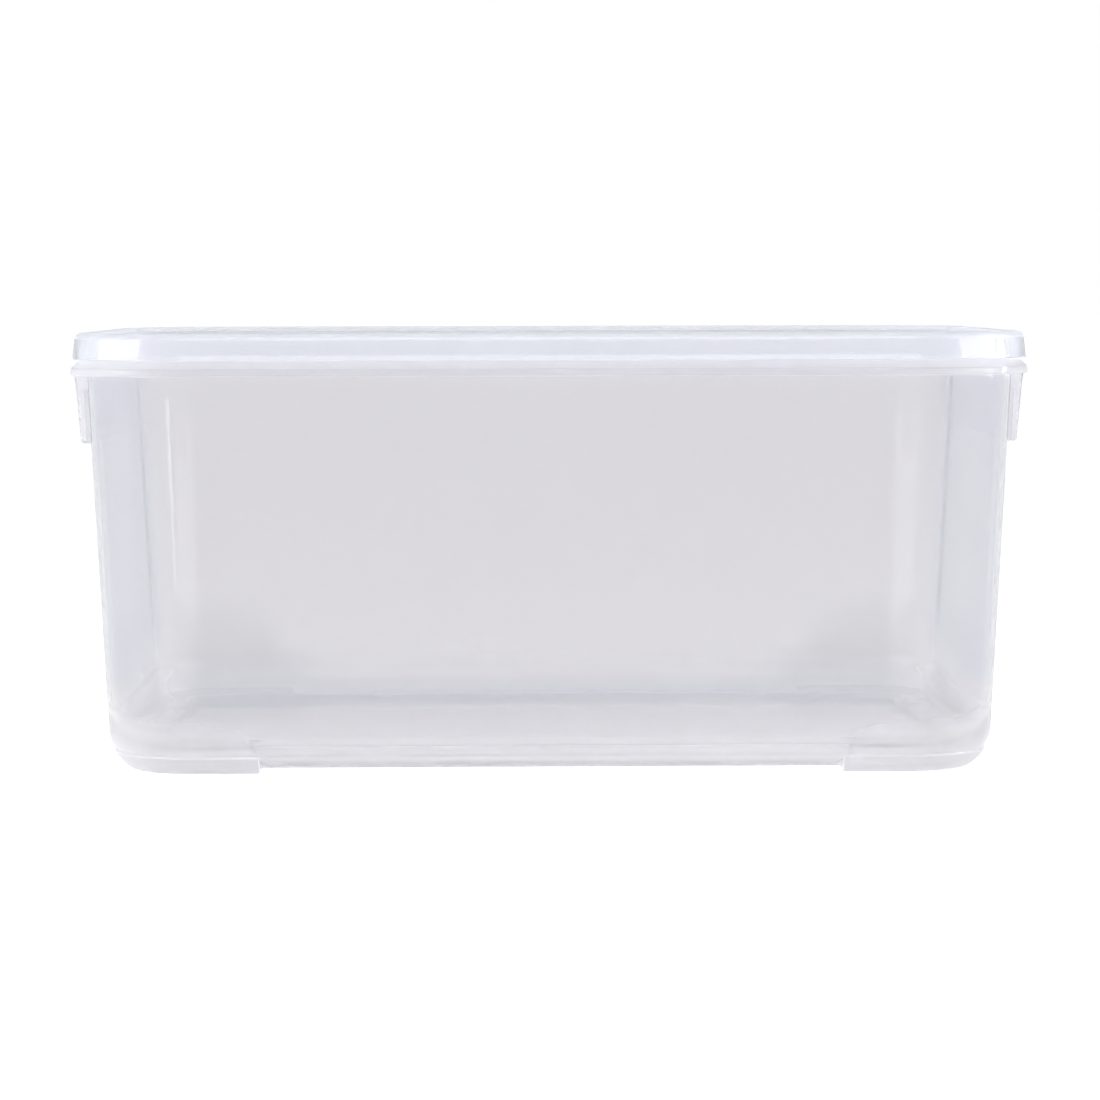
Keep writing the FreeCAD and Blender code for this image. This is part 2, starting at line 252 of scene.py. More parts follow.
def closed_piece(name, rows, **marks):
    """A mesh from (path steps, section points, 3), closed by a pole in the middle of both faces.

    Each mark is one number at each point, such as how milky the plastic is there. It goes with the
    mesh as an attribute, for the material. A pole has the mean of the ring round it.
    """
    around, across = rows.shape[:2]
    poles = np.array([[0, 0, rows[0, 0, 2]], [0, 0, rows[0, -1, 2]]])
    vertices = np.concatenate([rows.reshape(-1, 3), poles])
    i, j = np.meshgrid(np.arange(around), np.arange(across - 1), indexing="ij")
    following = (i + 1) % around
    quads = np.stack([i * across + j, following * across + j,
                      following * across + j + 1, i * across + j + 1], 2).reshape(-1, 4)
    step = np.arange(around)
    after = (step + 1) % around
    cap_top = np.stack([np.full(around, len(vertices) - 2), after * across, step * across], 1)
    cap_under = np.stack([np.full(around, len(vertices) - 1), step * across + across - 1,
                          after * across + across - 1], 1)
    mesh = bpy.data.meshes.new(name)
    faces = quads[:, ::-1].tolist() + cap_top[:, ::-1].tolist() + cap_under[:, ::-1].tolist()
    mesh.from_pydata(vertices.tolist(), [], faces)
    mesh.shade_smooth()
    for mark, value in marks.items():
        kept = mesh.attributes.new(mark, "FLOAT", "POINT")
        value = np.append(value.ravel(), value.mean(0)[[0, -1]])
        kept.data.foreach_set("value", value.astype(np.float32))
    mesh.set_sharp_from_angle(angle=SHARP_ANGLE)
    piece = bpy.data.objects.new(name, mesh)
    bpy.context.scene.collection.objects.link(piece)
    print(name, len(vertices), "points,", "volume in ml:", round(volume(mesh) * 1e6, 1))
    return piece


def volume(mesh):
    """Volume by the divergence theorem: the sum of a . (b x c) / 6 over the triangles."""
    mesh.calc_loop_triangles()
    corners = np.empty(len(mesh.loop_triangles) * 3, dtype=np.int32)
    mesh.loop_triangles.foreach_get("vertices", corners)
    places = np.empty(len(mesh.vertices) * 3)
    mesh.vertices.foreach_get("co", places)
    a, b, c = places.reshape(-1, 3)[corners].reshape(-1, 3, 3).transpose(1, 0, 2)
    return float((a * np.cross(b, c)).sum() / 6)


# %% [markdown]
# ## The tub
# Its section goes across the floor, up the inner wall, over the rim, down the flange and back down
# the outer wall. Two things change on the way round. At the short ends the flange's lip grows down
# into a grip, hollow behind and shut at both ends. At the corners the bottom edge swells and drops
# to make a foot. Both are only places where the section's points move, eased in by a mask.

# %% Sizes of the tub's outlines
def wall_x(z):
    """How far out the tub's outer wall is at height z, on the X side."""
    return HALF_LENGTH - FLANGE_REACH - math.tan(DRAFT) * (FLANGE_UNDER - z)


FOOT_LONG = 55.5 * MM                 # a foot's reach along the long side, from the wall's foot
FOOT_SHORT = 50 * MM                  # and along the short one
FOOT_END_LONG = wall_x(0) - FOOT_LONG
FOOT_END_SHORT = HALF_WIDTH - (HALF_LENGTH - wall_x(0)) - FOOT_SHORT
GRIP_HALF = 72 * MM                   # half of a grip's length, along Y
GRIP_WALL = 1.7 * MM
GRIP_INSET = 1.8 * MM                 # its face lies this far in from the flange
WALL_FOOT = BOTTOM_ROUND + FOOT_DROP + 20 * MM    # where the wall's section ends
UPPER_RADII = np.array([13, 0.45, 0.45, 0.6, 0.5, 0.5, 0.45, 0.4, 0.3, 0.4, 0.35, 0.4, 0.5]) * MM
UNDER_RADII = np.array([0.3, 0.1, 0.3]) * MM
EDGE_STEPS = 22                       # round the bottom edge
print("feet start at", round(FOOT_END_LONG, 4), "and", round(FOOT_END_SHORT, 4))


def chain(steps, *points):
    """Stack points (x, z), each a number or one value for each path step, into a section."""
    return np.stack([np.stack([np.broadcast_to(x, steps), np.broadcast_to(z, steps)], 1)
                     for x, z in points], 1)


def blend(share, there, here):
    """There where share is 1, here where it is 0: here + (there - here) * share."""
    return here + (there - here) * share


def upper_section(steps, grip, shut):
    """From the floor up the inside, over the rim, and down the flange or grip to the outer wall.

    The flange's upper and lower faces are lines of one slope: z = z at the lip + slope * distance.
    Where grip is 1 the lip's foot moves down to GRIP_BOTTOM, and where shut is 1 the hollow behind
    it is drawn together to a point at the wall, which closes its end. Some corners lie only tenths
    of a millimetre apart, so that a section has as many points without a grip as with one.
    """
    slope = math.tan(FLANGE_SLOPE)
    lip_top = FLANGE_UNDER + LIP_HEIGHT + LIP_BEVEL * slope
    slope_top = lip_top + (FLANGE_REACH - LIP_BEVEL) * slope
    roof_wall = slope_top - LIP_WALL / math.cos(FLANGE_SLOPE)
    lip_in = HALF_LENGTH - LIP_WALL
    roof_lip = roof_wall - (lip_in - wall_x(roof_wall)) * slope
    grip_out = HALF_LENGTH - GRIP_INSET
    lean = math.tan(DRAFT) * (FLANGE_UNDER - GRIP_BOTTOM)
    grip_in = grip_out - GRIP_WALL
    roof_grip = roof_wall - (grip_in - wall_x(roof_wall)) * slope
    hollow_x = blend(grip, grip_in - lean, lip_in)
    hollow_z = blend(grip, GRIP_BOTTOM, FLANGE_UNDER)
    shut_x, shut_z = wall_x(GRIP_BOTTOM), GRIP_BOTTOM
    corners = chain(
        steps,
        (HALF_LENGTH - FLOOR_INSET, FLOOR_TOP),
        (wall_x(FLOOR_TOP) - WALL, FLOOR_TOP),
        (wall_x(RIM) - WALL, RIM - SEAT),
        (wall_x(RIM), RIM - SEAT),
        (wall_x(slope_top), slope_top),
        (HALF_LENGTH - LIP_BEVEL, lip_top),
        (HALF_LENGTH, FLANGE_UNDER + LIP_HEIGHT),
        (HALF_LENGTH, FLANGE_UNDER),
        (blend(grip, grip_out, lip_in + 0.9 * MM), FLANGE_UNDER),
        (blend(grip, grip_out - lean + 0.05 * MM, lip_in + 0.6 * MM),
         blend(grip, GRIP_BOTTOM + 0.8 * MM, FLANGE_UNDER)),
        (blend(grip, grip_out - lean - 0.8 * MM, lip_in + 0.3 * MM), hollow_z),
        (blend(shut, shut_x + 0.3 * MM, hollow_x), hollow_z),
        (blend(shut, shut_x + 0.2 * MM, blend(grip, grip_in, lip_in)),
         blend(shut, shut_z + 0.2 * MM, blend(grip, roof_grip, roof_lip))),
        (blend(shut, shut_x + 0.1 * MM, wall_x(roof_wall)),
         blend(shut, shut_z + 0.1 * MM, roof_wall)),
        (wall_x(WALL_FOOT), WALL_FOOT),
    )
    return soften(corners, UPPER_RADII)


def bottom_edge(foot):
    """The outer bottom edge as an arc seen from its centre: x = cx + r cos a, z = cz - r sin a.

    Where there is a foot and the arc is below the foot's upper edge, r grows by how far the foot
    stands out, and then by the drop, until it meets the surface it stands on. Also gives cx.
    """
    middle_z = FOOT_DROP + BOTTOM_ROUND
    middle_x = wall_x(middle_z) - BOTTOM_ROUND / math.cos(DRAFT)
    proud = BOTTOM_ROUND + FOOT_PROUD
    start = math.asin((middle_z - FOOT_HEIGHT) / proud)
    sole = math.asin(middle_z / (proud + FOOT_DROP))
    crisp = math.radians(0.5)         # half of the turn over which the foot starts
    angle = np.unique(np.concatenate([np.linspace(-DRAFT, math.pi / 2, EDGE_STEPS),
                                      [start - crisp, start + crisp, sole]]))
    grown = FOOT_PROUD + FOOT_DROP * np.clip((angle - start) / (sole - start), 0, 1)
    radius = BOTTOM_ROUND + foot[:, None] * np.where(angle > start, grown, 0)
    x = middle_x + radius * np.cos(angle)
    z = np.maximum(middle_z - radius * np.sin(angle), (1 - foot[:, None]) * FOOT_DROP)
    return np.stack([x, z], 2), middle_x


def under_section(steps, foot, middle_x):
    """The flat ring or the foot's sole, and the step up to the underside of the floor."""
    ring = middle_x - blend(foot, FOOT_WIDTH, RING_WIDTH)
    low = FOOT_DROP * (1 - foot)
    return soften(chain(
        steps,
        (middle_x - 1 * MM, low),
        (ring, low),
        (blend(foot, ring - 0.02 * MM, ring - 0.1 * MM), FOOT_DROP + 0.3 * MM),
        (middle_x - UNDER_START, FLOOR_TOP - FLOOR_WALL),
        (HALF_LENGTH - FLOOR_INSET, FLOOR_TOP - FLOOR_WALL),
    ), UNDER_RADII)


# %% The path round the tub, and its parts
ALONG = 0.999           # a direction this near to an axis belongs to a straight side
CORNER_REACH = 30 * MM  # how far the extra milk of a corner goes along the sides


def ramp(value, start, end):
    """0 up to start, 1 from end on, and (value - start) / (end - start) between them."""
    return np.clip((value - start) / (end - start), 0, 1)


def tub_path():
    """The path, and at each step the share of grip, of the grip's end wall, of foot and corner."""
    points, directions = round_path((-FOOT_END_LONG, FOOT_END_LONG),
                                    (-FOOT_END_SHORT, FOOT_END_SHORT, -GRIP_HALF, GRIP_HALF,
                                     GRIP_WALL - GRIP_HALF, GRIP_HALF - GRIP_WALL))
    at_end = np.abs(directions[:, 0]) > ALONG
    at_side = np.abs(directions[:, 1]) > ALONG
    along_x, along_y = np.abs(points).T
    grip = at_end * (1 - mask(along_y, GRIP_HALF))
    shut = grip * mask(along_y, GRIP_HALF - GRIP_WALL)
    foot = 1 - at_side * (1 - mask(along_x, FOOT_END_LONG)) \
        - at_end * (1 - mask(along_y, FOOT_END_SHORT))
    from_corner = np.where(at_side, HALF_LENGTH - CORNER - along_x,
                           HALF_WIDTH - CORNER - along_y)
    corner = ramp(np.where(at_side | at_end, from_corner, 0), CORNER_REACH, 0)
    return points, directions, grip, shut, foot, corner


print("path round the tub:", len(tub_path()[0]), "steps")

# %% [markdown]
# ## Marks: where the plastic differs, and where light and shade are painted
# The plastic isn't the same everywhere. Feet, rim and grips are thicker, so they are milkier, and
# the front corners of the bottom are too. The lowest part was left satin by the mould. On top of
# that, shade is painted into the tint low down at the back, around a pale panel with round corners:
# the shade of the floor behind the box, as seen through the plastic. A little shade is painted along
# the lower outer edge, and light is painted on the floor in front and low at the ends. A path
# through a bent wall is hard to count in a shader, so each effect is put on as a mark: a number at
# every point, a product of ramps. *Thickness* counts extra plain walls of milk, *satin* adds
# roughness, the shade mark is painted shade and *clear* is painted light in the tint.

# %% Marks that follow the section
FOOT_MILK = 14.0                      # in plain walls
RIM_MILK = 4.0
EDGE_MILK = 1.8
CORNER_MILK = 8.0
GRIP_MILK = 2.0
FOOT_MARGIN = 0.1 * MM                # a mark starts a hair outside of the shape it is for
GRIP_OFF_WALL = 0.6 * MM
MARGIN = 1 * MM
CORNER_RISE = (22 * MM, 6 * MM)       # from nothing at the first height to all at the second
FRONT = (20 * MM, -20 * MM)           # along Y
BACK_SHARE = 0.1                      # what is left of it at the back
EDGE_TOP = (21 * MM, 19.5 * MM)
EDGE_LOW = (6 * MM, 18 * MM)
SATIN_RISE = (9 * MM, 7 * MM)


def milk_marks(section, middle_x, points, grip, foot, corner):
    """Thickness, satin, and where the outer face is.

    Thickness is the greater of foot and corner, + rim + edge, or the grip where that is greater.
    """
    x, z = section.transpose(2, 0, 1)
    past_rim = np.arange(z.shape[1]) > z.mean(0).argmax()
    outside = past_rim * (x > middle_x)
    on_foot = (z < FOOT_HEIGHT + FOOT_MARGIN) & ((x > middle_x) | (z < FOOT_DROP))
    on_grip = (x > wall_x(z) + GRIP_OFF_WALL) & (z > GRIP_BOTTOM - MARGIN)
    front = np.maximum(ramp(points[:, 1], *FRONT), BACK_SHARE)
    at_corner = outside * (corner * front)[:, None] * ramp(z, *CORNER_RISE)
    thickness = np.maximum(FOOT_MILK * foot[:, None] * on_foot, CORNER_MILK * at_corner)
    thickness = thickness + RIM_MILK * ramp(z, FLANGE_UNDER - MARGIN, FLANGE_UNDER)
    thickness = thickness + EDGE_MILK * ramp(z, *EDGE_TOP) * ramp(z, *EDGE_LOW)
    thickness = np.maximum(thickness, GRIP_MILK * grip[:, None] * on_grip)
    return thickness, ramp(z, *SATIN_RISE) * outside, outside


# %% Painted shade and painted light, by place
# How strong the painted shade (low at the back, along the lower outer edge) and the painted light
# (front floor, low ends) are
BACK_PAINTED_SHADE = 0.62
EDGE_PAINTED_SHADE = 0.15
FLOOR_PAINTED_LIGHT = 0.4
SIDE_PAINTED_LIGHT = 0.4
BACK = (30 * MM, 50 * MM)             # along Y
PANEL_HALF = 82 * MM                  # the pale panel: its flat part, its foot, and its round corner
PANEL_LOW = 48 * MM
PANEL_ROUND = (30 * MM, 41 * MM)
BACK_SHADE_RISE = (48 * MM, 14 * MM)
BACK_SHADE_ENDS = (158 * MM, 142 * MM)      # it fades towards the ends, along X
EDGE_RISE = (16 * MM, 10 * MM)
FLOOR_MARGIN = 3 * MM
SIDE_ACROSS = (135 * MM, 145 * MM)
SIDE_RISE = (34 * MM, 22 * MM)


def painted_light_marks(rows, outside):
    """Painted shade, and painted light (the clear mark), from the distance to the panel and the
    height.

    The distance is that to a rounded rectangle: the root of the squares of how far x is past the
    panel's half and z is below its foot. Shade is painted low at the back outside the panel, and a
    little along the lower outer edge. Light is painted on the floor in front and low at the ends.
    """
    x, y, z = np.abs(rows[:, :, 0]), rows[:, :, 1], rows[:, :, 2]
    at_back = ramp(y, *BACK)
    distance = np.hypot(np.clip(x - PANEL_HALF, 0, None), np.clip(PANEL_LOW - z, 0, None))
    round_panel = ramp(distance, *PANEL_ROUND)
    # painted shade: the floor's shade behind the box, as seen low through the back
    shade = BACK_PAINTED_SHADE * round_panel * ramp(z, *BACK_SHADE_RISE) * at_back * ramp(x, *BACK_SHADE_ENDS)
    # painted shade along the lower outer edge, except at the back
    shade = shade + EDGE_PAINTED_SHADE * ramp(z, *EDGE_RISE) * outside * (1 - at_back)
    # painted light: the floor in front is drawn lighter
    floor_painted_light = FLOOR_PAINTED_LIGHT * (z < FLOOR_TOP + FLOOR_MARGIN) * (1 - at_back)
    # painted light low at both ends
    at_side = SIDE_PAINTED_LIGHT * ramp(x, *SIDE_ACROSS) * ramp(z, *SIDE_RISE)
    return shade, np.maximum(floor_painted_light, at_side)


# %% Make the tub
def make_tub():
    """One surface from the middle of the floor, over the rim, to the middle of the underside."""
    points, directions, grip, shut, foot, corner = tub_path()
    steps = len(points)
    edge, middle_x = bottom_edge(foot)
    section = refine(np.concatenate([upper_section(steps, grip, shut), edge,
                                     under_section(steps, foot, middle_x)], 1))
    marks = milk_marks(section, middle_x, points, grip, foot, corner)
    thickness, satin, outside = (fan_out(mark) for mark in marks)
    rows = with_fans(carry(points, directions, section))
    # the painted shade and painted light marks, kept on the mesh for the material
    shade, clear = painted_light_marks(rows, outside)
    print("strongest marks:", [round(float(m.max()), 2) for m in (thickness, satin, shade, clear)])
    return closed_piece("tub_shell", rows, thickness=thickness, shade=shade, clear=clear,
                        satin=satin)


tub = make_tub()
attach(tub, "root")
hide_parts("tub")

# %% [markdown]
# ## The lid
# A shallow tray turned over: a sunken panel, a raised edge with a soft outer round, a skirt that
# leans outwards and ends just over the flange, and a ring inside that drops into the rim.

# %% Make the lid
TOP_MILK = 2.0                        # extra milk of the top, in plain walls
SATIN_EDGE = (2.4 * MM, 2.0 * MM)     # the top's marks fade between these depths
SKIRT_LEAN = math.radians(7)
LID_WALL = 1.5 * MM
PANEL_SINK = 1.8 * MM                 # how far the middle lies below the border
PANEL_RISE = math.radians(55)         # steepness of the step up to the border
PANEL_INSET = 6 * MM                  # the last ring of the flat middle
PLUG_WALL = 1.3 * MM                  # the rib that reaches down into the tub
PLUG_GAP = 0.4 * MM
PLUG_DEPTH = 5.2 * MM
SKIRT_INSET = 0.5 * MM                # its foot lies this far in from the flange
LID_RADII = np.array([0.5, 0.7, 3.2, 0.5, 0.4, 1.7, 0.3, 0.4, 0.4, 0.4]) * MM
LID_ARC = 7


def make_lid():
    """One surface from the middle of the panel, over the edge and skirt, to the underside.

    A skirt line leans by its angle: x at the top = x at the foot - tan(angle) * height.
    """
    points, directions = round_path((), ())
    tip = HALF_LENGTH - SKIRT_INSET
    lean = math.tan(SKIRT_LEAN)
    under = LID_TOP - LID_WALL
    plug_out = wall_x(RIM) - WALL - PLUG_GAP
    plug_in = plug_out - PLUG_WALL
    panel = LID_TOP - PANEL_SINK
    skirt_in = tip - LID_WALL / math.cos(SKIRT_LEAN)
    corners = chain(
        len(points),
        (plug_in - PANEL_INSET, panel),
        (plug_in, panel),
        (plug_in + PANEL_SINK / math.tan(PANEL_RISE), LID_TOP),
        (tip - lean * (LID_TOP - LID_BOTTOM), LID_TOP),
        (tip, LID_BOTTOM),
        (skirt_in, LID_BOTTOM),
        (skirt_in - lean * (under - LID_BOTTOM), under),
        (plug_out, under),
        (plug_out, RIM - PLUG_DEPTH),
        (plug_in, RIM - PLUG_DEPTH),
        (plug_in, panel - LID_WALL),
        (plug_in - PANEL_INSET, panel - LID_WALL),
    )
    section = soften(corners, LID_RADII, steps=LID_ARC)
    fade_low, fade_high = SATIN_EDGE
    top = fan_out(ramp(section[:, :, 1], LID_TOP - fade_low, LID_TOP - fade_high))
    return closed_piece("lid_shell", with_fans(carry(points, directions, section)),
                        thickness=TOP_MILK * top, satin=top)


lid = make_lid()
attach(lid, "root")
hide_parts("lid")

# %% [markdown]
# ## Shader maths in plain expressions
# A material is a graph of nodes. To write it as sums instead, this class wraps a socket and turns
# + - * ** into Math nodes. Every other node comes from one method.

# %% A socket that does arithmetic
class Wire:
    """One output of a node, with the usual operators."""

    def __init__(self, tree, socket):
        self.tree = tree
        self.socket = socket

    def maths(self, operation, *others):
        """A Math node that takes this wire first, then the others."""
        return self.tree.node("ShaderNodeMath", {"operation": operation}, [self, *others])[0]

    def __add__(self, other):
        return self.maths("ADD", other)

    def __sub__(self, other):
        return self.maths("SUBTRACT", other)

    def __rsub__(self, other):
        return self.maths("MULTIPLY_ADD", -1, other)

    def __mul__(self, other):
        return self.maths("MULTIPLY", other)

    def __pow__(self, other):
        return self.maths("POWER", other)

    def __rpow__(self, other):
        return self.tree.node("ShaderNodeMath", {"operation": "POWER"}, [other, self])[0]

    __radd__ = __add__
    __rmul__ = __mul__


class Tree:
    """A node tree, and the one method that adds a node to it."""

    def __init__(self, nodes_of):
        self.nodes = nodes_of.nodes
        self.links = nodes_of.links
        self.nodes.clear()

    def node(self, kind, settings=None, values=()):
        """Add a node, set its settings, then its sockets: a list by number, or a dict by name."""
        made = self.nodes.new(kind)
        for key, value in (settings or {}).items():
            setattr(made, key, value)
        pairs = values.items() if isinstance(values, dict) else enumerate(values)
        for key, value in pairs:
            if isinstance(value, Wire):
                self.links.new(value.socket, made.inputs[key])
            else:
                made.inputs[key].default_value = value
        return [Wire(self, socket) for socket in made.outputs]

    def named(self, kind, output, values=(), settings=None):
        """The same, giving only the output of this name."""
        return next(w for w in self.node(kind, settings, values) if w.socket.name == output)

    def mark(self, name):
        """The number that a mesh keeps at its points under this name."""
        return self.named("ShaderNodeAttribute", "Fac", settings={"attribute_name": name})

    def rays(self):
        """What a Light Path node knows of the ray, by name."""
        return {wire.socket.name: wire for wire in self.node("ShaderNodeLightPath")}

    def mix(self, share, first, second):
        """A colour between first and second. The node keeps its colours on sockets 6, 7 and 2."""
        return self.node("ShaderNodeMix", {"data_type": "RGBA"}, {0: share, 6: first, 7: second})[2]


# %% [markdown]
# ## The plastic
# Polypropylene that looks clear is two things at once. Most of the light passes and is bent at each
# face, as by glass. The rest is caught by tiny crystals and scattered, part back and part onwards,
# which gives the milky grey. A ray that grazes the wall meets more plastic, and a thick place has
# more of it, so with m the share that one plain wall catches, the milk is
# share = 1 - (1 - m) ^ ((1 + thickness) * path). The tint goes from its face-on colour to a deeper
# one in the same way. The clear mark is painted light: it holds that back. The shade mark is painted
# shade: it pushes the colour on towards a dark tint. Slow flow marks of the mould change the share
# and the gloss a little, and fine ripples tilt the surface, but not where it is satin. Shadow rays
# pass straight on, so the box casts only a faint shadow.

# %% One function makes both plastics
INDEX = 1.49             # how strongly it bends light
GLOSS = 0.02             # roughness of the polished faces
FLOW_GLOSS = 0.03        # roughness that the flow marks add
SATIN = 0.21             # and that a satin face adds
FLOW_SCALE = 14.0
FLOW_MILK = 0.2
RIPPLE_SCALE = 40.0
RIPPLE_DEPTH = 0.08 * MM
RIPPLE_SHARE = 0.05
TINT_KEPT = 0.8          # share of the plain tint that one more wall's length keeps
TINT_LEAST, MILK_LEAST = 0.1, 0.25
# the colour of the painted shade
PAINTED_SHADE_TINT = (0.50, 0.525, 0.565)
SHADOW_TINT = (0.93, 0.93, 0.94)


def path_length(facing, least):
    """How many walls a slanting ray passes: 1 / ((1 - facing) * (1 - least) + least)."""
    return ((1 - facing) * (1 - least) + least) ** -1


def clear_plastic(name, milk, tint, deep_tint, milk_colour):
    """Glass and milk, mixed by the share in the text above, in a material of this name."""
    material = bpy.data.materials.new(name)
    material.use_nodes = True
    tree = Tree(material.node_tree)
    place = tree.named("ShaderNodeTexCoord", "Object")
    flow = tree.named("ShaderNodeTexNoise", "Fac", {
        "Vector": place, "Scale": FLOW_SCALE, "Detail": 3.0, "Roughness": 0.55})
    ripple = tree.named("ShaderNodeTexNoise", "Fac", {
        "Vector": place, "Scale": RIPPLE_SCALE, "Detail": 0.0})
    facing = tree.named("ShaderNodeLayerWeight", "Facing", {"Blend": 0.5})
    satin = tree.mark("satin")
    polished = 1 - satin
    passed = (1 - milk) ** ((tree.mark("thickness") + 1) * path_length(facing, MILK_LEAST))
    share = (1 - passed) * ((flow - 0.5) * polished * FLOW_MILK + 1)
    bump = tree.named("ShaderNodeBump", "Normal", {
        "Strength": RIPPLE_SHARE, "Distance": RIPPLE_DEPTH, "Height": ripple * polished})
    # the clear mark is painted light: it takes the deep tint away
    deep = 1 - TINT_KEPT ** (path_length(facing, TINT_LEAST) - 1) - tree.mark("clear")
    colour = tree.mix(deep, (*tint, 1), (*deep_tint, 1))
    # painted shade: the shade mark mixes in a dark tint
    colour = tree.mix(tree.mark("shade"), colour, (*PAINTED_SHADE_TINT, 1))
    glass = tree.named("ShaderNodeBsdfPrincipled", "BSDF", {
        "Base Color": colour, "Roughness": flow * FLOW_GLOSS + GLOSS + satin * SATIN,
        "IOR": INDEX, "Transmission Weight": 1.0, "Normal": bump})
    back = tree.named("ShaderNodeBsdfDiffuse", "BSDF", {"Color": (*milk_colour, 1)})
    onward = tree.named("ShaderNodeBsdfTranslucent", "BSDF", {"Color": (*milk_colour, 1)})
    milky = tree.named("ShaderNodeMixShader", "Shader", [0.5, back, onward])
    body = tree.named("ShaderNodeMixShader", "Shader", [share, glass, milky])
    let_by = tree.named("ShaderNodeBsdfTransparent", "BSDF", {"Color": (*SHADOW_TINT, 1)})
    surface = tree.named("ShaderNodeMixShader", "Shader",
                         [tree.rays()["Is Shadow Ray"], body, let_by])
    tree.node("ShaderNodeOutputMaterial", None, {"Surface": surface})
    print(name, len(tree.nodes), "nodes")
    return material


# %% The tub's plastic and the lid's
tub.data.materials.append(clear_plastic(
    "tub_plastic", milk=0.075, tint=(0.80, 0.791, 0.808), deep_tint=(0.46, 0.56, 0.69),
    milk_colour=(0.92, 0.915, 0.935)))
lid.data.materials.append(clear_plastic(
    "lid_plastic", milk=0.17, tint=(0.92, 0.93, 0.95), deep_tint=(0.70, 0.73, 0.79),
    milk_colour=(0.90, 0.915, 0.95)))

# %% [markdown]
# ## Floor
# The floor is pale and catches the box's faint shadow, which a plain diffuse floor gives under
# light. To the camera, in the plastic's mirror images and through its rough faces it glows near
# white, like the room behind, and its image seen in the plastic is a little weaker. Only what is
# seen turns white this way: the light that the floor throws back on the box is that of the plain
# one.

# %% Floor
FLOOR_HALF = 30.0
FLOOR_GLOW = 0.88
MIRROR_LOSS = 0.08       # what the glow loses in a mirror image
FLOOR_PLAIN = (0.8, 0.8, 0.8, 1)
FLOOR_FAINT = (0.3, 0.3, 0.3, 1)
WHITE = (1, 1, 1, 1)


def make_floor():
    """A square at height 0: x and y are -FLOOR_HALF or FLOOR_HALF."""
    mesh = bpy.data.meshes.new("floor")
    ends = [(-1, -1), (1, -1), (1, 1), (-1, 1)]
    mesh.from_pydata([(FLOOR_HALF * x, FLOOR_HALF * y, 0) for x, y in ends], [], [(0, 1, 2, 3)])
    floor = bpy.data.objects.new("floor", mesh)
    bpy.context.scene.collection.objects.link(floor)
    material = bpy.data.materials.new("floor_white")
    material.use_nodes = True
    tree = Tree(material.node_tree)
    rays = tree.rays()
    seen = rays["Is Camera Ray"].maths("MAXIMUM", rays["Is Glossy Ray"])
    plain = tree.named("ShaderNodeBsdfDiffuse", "BSDF", {"Color": FLOOR_PLAIN})
    strength = rays["Glossy Depth"].maths("GREATER_THAN", 0.5) * -MIRROR_LOSS + FLOOR_GLOW
    faint = tree.named("ShaderNodeBsdfDiffuse", "BSDF", {"Color": FLOOR_FAINT})
    glow = tree.named("ShaderNodeEmission", "Emission", {"Color": WHITE, "Strength": strength})
    white = tree.named("ShaderNodeAddShader", "Shader", [faint, glow])
    surface = tree.named("ShaderNodeMixShader", "Shader", [seen, plain, white])
    tree.node("ShaderNodeOutputMaterial", None, {"Surface": surface})
    mesh.materials.append(material)
    print("floor", 2 * FLOOR_HALF, "m wide")


make_floor()

# %% [markdown]
# ## The room
# The room lights the box dimly and evenly. Seen straight on, or straight through the plastic, it is
# white. In a mirror image it is dim, as the room beside a box is, except just ahead and behind,
# where the white backdrop shows: behind = |Y| * k + 1 - k, cut off at 0.

# %% World
ROOM = 0.45              # light of the room, and of its mirror image
BACKDROP = 0.75          # of the mirror image of the backdrop
BACKDROP_EDGE = 12.0     # how quickly it gives way to the room


def make_world():
    """White to rays that look straight on, else the room, or the backdrop in a mirror image."""
    world = bpy.data.worlds.new("studio")
    bpy.context.scene.world = world
    world.use_nodes = True
    tree = Tree(world.node_tree)
    rays = tree.rays()
    straight_on = rays["Is Transmission Ray"] * rays["Glossy Depth"].maths("LESS_THAN", 0.5)
    seen = rays["Is Camera Ray"].maths("MAXIMUM", straight_on)
    direction = tree.named("ShaderNodeTexCoord", "Generated")
    along_y = tree.named("ShaderNodeSeparateXYZ", "Y", [direction]).maths("ABSOLUTE")
    behind = along_y.maths("MULTIPLY_ADD", BACKDROP_EDGE, 1 - BACKDROP_EDGE)
    behind.socket.node.use_clamp = True
    mirrored = rays["Is Glossy Ray"].maths("MAXIMUM", rays["Is Transmission Ray"])
    strength = seen + (1 - seen) * (mirrored * behind * (BACKDROP - ROOM) + ROOM)
    back = tree.named("ShaderNodeBackground", "Background",
                      {"Color": WHITE, "Strength": strength})
    tree.node("ShaderNodeOutputWorld", None, {"Surface": back})
    print("room light", ROOM)


make_world()

# %% [markdown]
# ## Lamps
# A soft box above the camera lights the front, and two beside it make the bright strips down the
# corners and along the lid. Two cards and a narrow strip stand with them. They show only as mirror
# images in the plastic: they add a gleam, but no light on what is milky.

# %% Lamps
def soft_box(name, azimuth, distance, height, width, tall, radiance, mirrored_only=False):
    """A rectangular lamp at this azimuth, aimed at the box. Power = radiance * pi * area."""
    angle = math.radians(azimuth)
    place = Vector((math.sin(angle) * distance, -math.cos(angle) * distance, height))
    lamp = bpy.data.lights.new(name, "AREA")
    lamp.shape = "RECTANGLE"
    lamp.size = width
    lamp.size_y = tall
    lamp.energy = radiance * math.pi * width * tall
    item = bpy.data.objects.new(name, lamp)
    item.visible_diffuse = not mirrored_only
    bpy.context.scene.collection.objects.link(item)
    aim = Vector((0, 0, 0.5 * LID_TOP)) - place
    turn = aim.to_track_quat("-Z", "Y").to_matrix().to_4x4()
    item.matrix_world = Matrix.Translation(place) @ turn
    print(name, "power", round(lamp.energy, 2), "W")


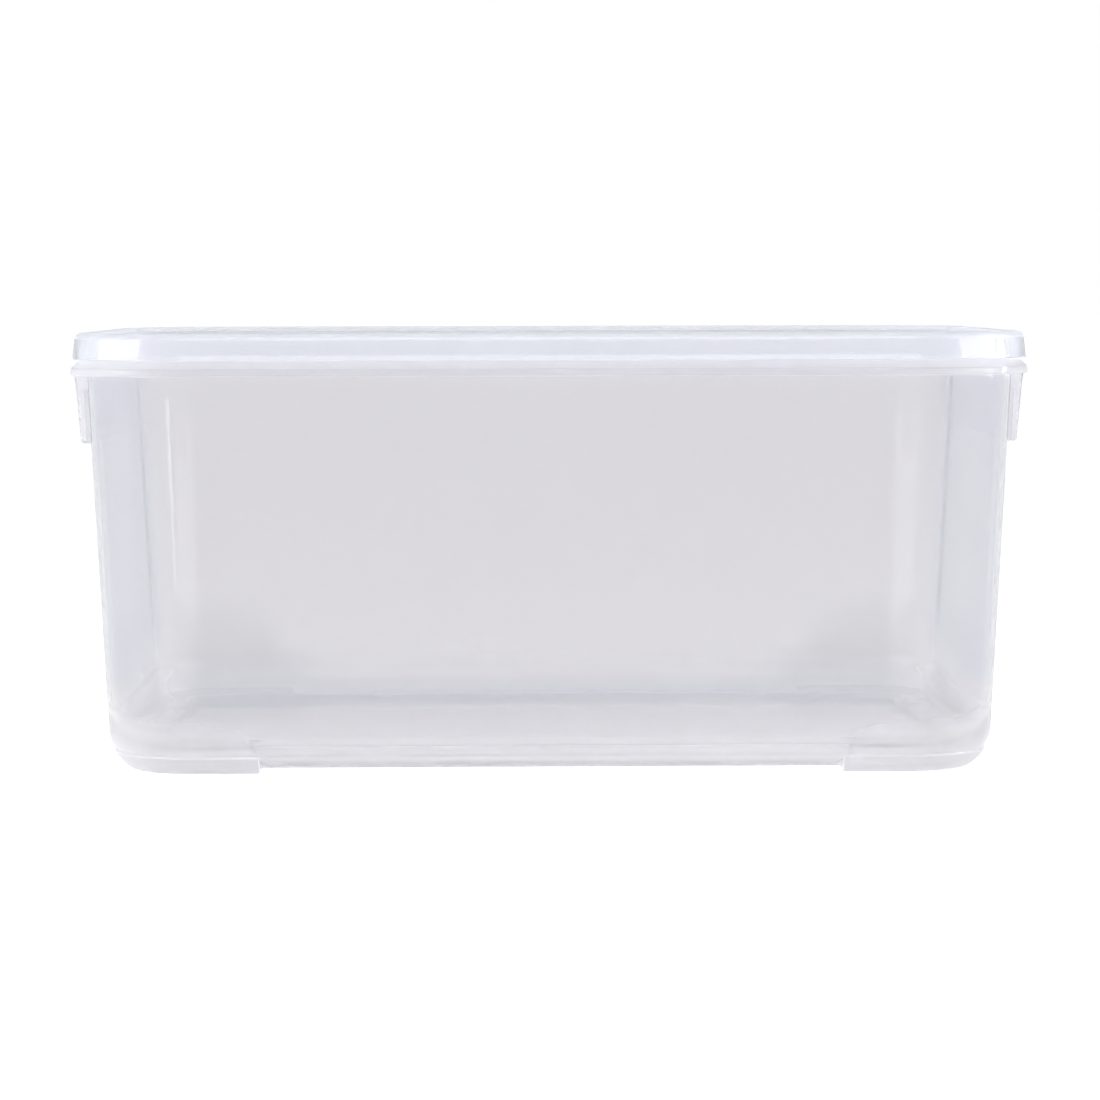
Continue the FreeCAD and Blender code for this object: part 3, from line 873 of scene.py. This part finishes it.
soft_box("front_box", azimuth=0, distance=1.2, height=1.1, width=0.8, tall=0.8, radiance=3.2)
soft_box("left_box", azimuth=-72, distance=1.3, height=0.55, width=1.1, tall=1.1, radiance=1.7)
soft_box("right_box", azimuth=68, distance=1.3, height=0.55, width=0.9, tall=1.1, radiance=1.7)
soft_box("left_card", azimuth=-72, distance=1.28, height=0.55, width=1.1, tall=1.1, radiance=0.5,
         mirrored_only=True)
soft_box("right_card", azimuth=68, distance=1.28, height=0.55, width=0.9, tall=1.1, radiance=0.4,
         mirrored_only=True)
soft_box("right_strip", azimuth=96, distance=1.3, height=0.55, width=0.12, tall=1.1,
         radiance=32.0, mirrored_only=True)

# %% [markdown]
# ## Camera
# A long lens from far off keeps the box's upright lines nearly upright. It looks from just above
# the lid, so the lid's top is only a thin line.

# %% Camera
LENS = 113.04                                # mm
SENSOR = 36.0                                # mm
CAMERA_PLACE = (-0.01855, -1.32611, 0.17250)
CAMERA_AIM = (0.00101, 0.0, 0.07276)
CAMERA_ROLL = math.radians(-0.14)


def make_camera():
    """Turned from its place towards its aim, then rolled about its own axis."""
    data = bpy.data.cameras.new("camera")
    data.lens = LENS
    data.sensor_width = SENSOR
    camera = bpy.data.objects.new("camera", data)
    bpy.context.scene.collection.objects.link(camera)
    place = Vector(CAMERA_PLACE)
    aim = Vector(CAMERA_AIM) - place
    turn = aim.to_track_quat("-Z", "Y").to_matrix().to_4x4()
    roll = Matrix.Rotation(CAMERA_ROLL, 4, "Z")
    camera.matrix_world = Matrix.Translation(place) @ turn @ roll
    bpy.context.scene.camera = camera
    print("camera", round(aim.length, 3), "m from its aim")


make_camera()

# %% Colour and bounces
bpy.context.scene.view_settings.view_transform = "Standard"
BOUNCES = 28             # a ray passes four walls and more, with two faces each
GLOSSY_BOUNCES = 8
cycles = bpy.context.scene.cycles
cycles.max_bounces = BOUNCES
cycles.transmission_bounces = BOUNCES
cycles.glossy_bounces = GLOSSY_BOUNCES
print("bounces:", BOUNCES, "and", GLOSSY_BOUNCES)
